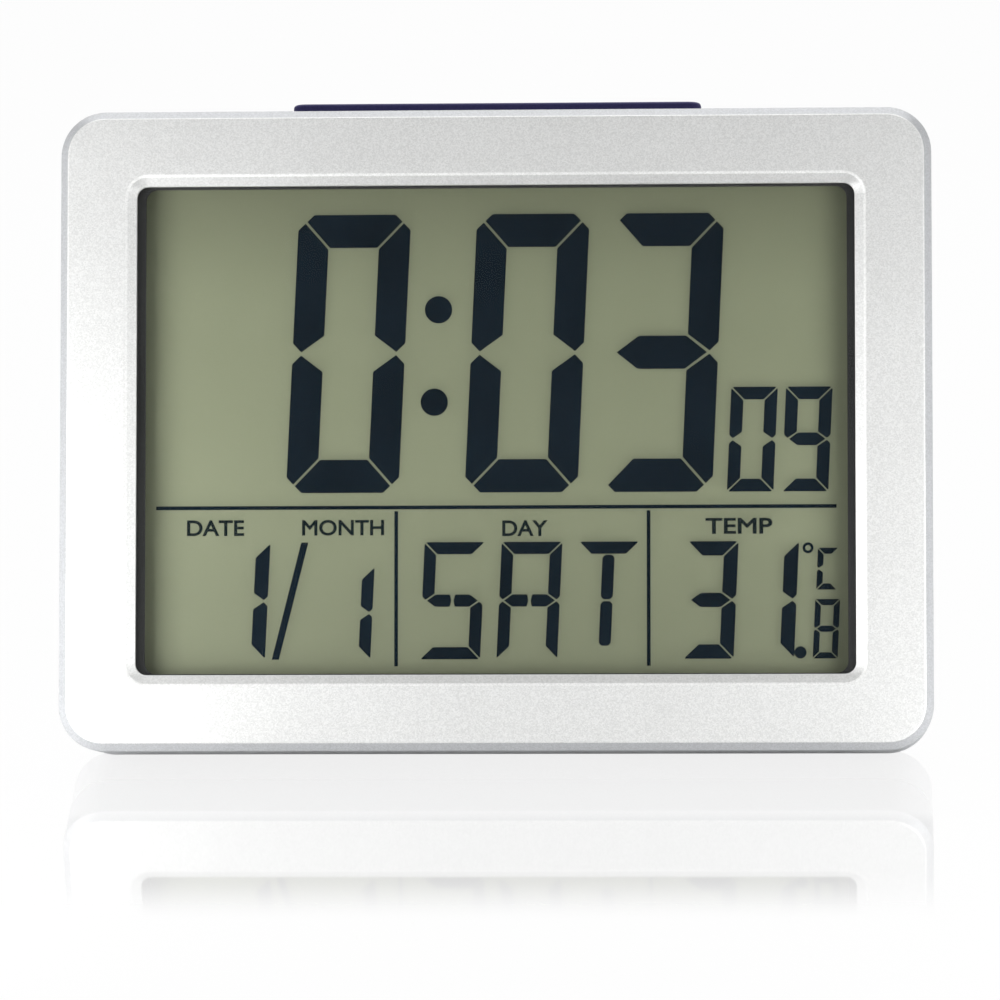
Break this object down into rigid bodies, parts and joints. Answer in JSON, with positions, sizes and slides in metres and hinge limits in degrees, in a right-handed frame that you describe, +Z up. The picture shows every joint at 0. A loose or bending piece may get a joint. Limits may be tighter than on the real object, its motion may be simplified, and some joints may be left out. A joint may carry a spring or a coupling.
{
  "type": "day clock",
  "caption": "Leaning desk clock with a large liquid crystal display of time, date, day and temperature, a snooze bar on top and a fold-out stand behind.",
  "frame": {"origin": "middle of the flat land on the case's lower rear edge, on the table", "axes": "+X to the right seen from the front, +Y towards the back, +Z up; the face leans back by 16 degrees"},
  "size_m": [0.165, 0.0573, 0.1228],
  "materials": {
    "silver_plastic": "metallic silver paint",
    "light_grey_plastic": "moulded, fine grain",
    "clear_lens": "clear acrylic",
    "display_glass": "polarised",
    "crystal_dark": "dark",
    "reflector_film": "transflective",
    "guide_acrylic": "clear",
    "black_plastic": "moulded",
    "navy_plastic": "moulded",
    "key_plastic": "moulded",
    "led_white": "white",
    "zebra_rubber": "layered",
    "board": "solder mask",
    "can_metal": "tinned",
    "bead_black": "dipped",
    "switch_body": "moulded",
    "brass_disc": "rolled",
    "cell_jacket": "plain jacket",
    "contact_metal": "nickel plated",
    "red_jacket": "insulation",
    "black_jacket": "insulation",
    "grey_jacket": "insulation",
    "screw_steel": "zinc plated"
  },
  "bodies": {
    "case": {"front_case": "silver_plastic", "rear_case": "light_grey_plastic", "lens": "clear_lens", "lcd_holder": "black_plastic", "lcd_front_glass": "display_glass", "lcd_segments": "crystal_dark", "lcd_rear_glass": "display_glass", "lcd_reflector": "reflector_film", "light_guide": "guide_acrylic", "backlight_leds": "led_white", "zebra_strip": "zebra_rubber", "main_board": "board", "chip_blob": "black_plastic", "quartz_crystal": "can_metal", "thermistor": "bead_black", "key_board": "board", "key_switches": "switch_body", "alarm_switch": "switch_body", "snooze_board": "board", "snooze_switch": "switch_body", "buzzer": "brass_disc", "battery_cells": "cell_jacket", "battery_contact_plus": "contact_metal", "battery_contact_minus": "contact_metal", "battery_bridge": "contact_metal", "battery_lead_red": "red_jacket", "battery_lead_black": "black_jacket", "buzzer_leads": "black_jacket", "key_leads": "grey_jacket", "snooze_leads": "grey_jacket", "case_screws": "screw_steel", "holder_screws": "screw_steel", "board_screws": "screw_steel"},
    "snooze": {"snooze_bar": "navy_plastic"},
    "stand": {"stand": "light_grey_plastic"},
    "door": {"battery_door": "light_grey_plastic"},
    "alarm_slider": {"alarm_slider": "black_plastic"},
    "mode_key": {"mode_key": "key_plastic"},
    "set_key": {"set_key": "key_plastic"},
    "up_key": {"up_key": "key_plastic"},
    "down_key": {"down_key": "key_plastic"},
    "alarm_key": {"alarm_key": "key_plastic"},
    "unit_key": {"unit_key": "key_plastic"}
  },
  "joints": [
    {"name": "snooze_press", "type": "slide", "parent": "case", "child": "snooze", "axis": [0, -0.2756, -0.9613], "range_m": [0, 0.001], "stiffness_N_per_m": 800, "springref_m": -0.0005},
    {"name": "stand_fold", "type": "hinge", "parent": "case", "child": "stand", "pos_m": [0, 0.01502, 0.05155], "axis": [-1, 0, 0], "range_deg": [0, 24]},
    {"name": "battery_door_swing", "type": "hinge", "parent": "case", "child": "door", "pos_m": [0, 0.01794, 0.05773], "axis": [-1, 0, 0], "range_deg": [0, 90]},
    {"name": "alarm_switch_slide", "type": "slide", "parent": "case", "child": "alarm_slider", "axis": [1, 0, 0], "range_m": [0, 0.0025]},
    {"name": "mode_key_press", "type": "slide", "parent": "case", "child": "mode_key", "axis": [0, -0.9613, 0.2756], "range_m": [0, 0.0005], "stiffness_N_per_m": 1000, "springref_m": -0.0004},
    {"name": "set_key_press", "type": "slide", "parent": "case", "child": "set_key", "axis": [0, -0.9613, 0.2756], "range_m": [0, 0.0005], "stiffness_N_per_m": 1000, "springref_m": -0.0004},
    {"name": "up_key_press", "type": "slide", "parent": "case", "child": "up_key", "axis": [0, -0.9613, 0.2756], "range_m": [0, 0.0005], "stiffness_N_per_m": 1000, "springref_m": -0.0004},
    {"name": "down_key_press", "type": "slide", "parent": "case", "child": "down_key", "axis": [0, -0.9613, 0.2756], "range_m": [0, 0.0005], "stiffness_N_per_m": 1000, "springref_m": -0.0004},
    {"name": "alarm_key_press", "type": "slide", "parent": "case", "child": "alarm_key", "axis": [0, -0.9613, 0.2756], "range_m": [0, 0.0005], "stiffness_N_per_m": 1000, "springref_m": -0.0004},
    {"name": "unit_key_press", "type": "slide", "parent": "case", "child": "unit_key", "axis": [0, -0.9613, 0.2756], "range_m": [0, 0.0005], "stiffness_N_per_m": 1000, "springref_m": -0.0004}
  ]
}
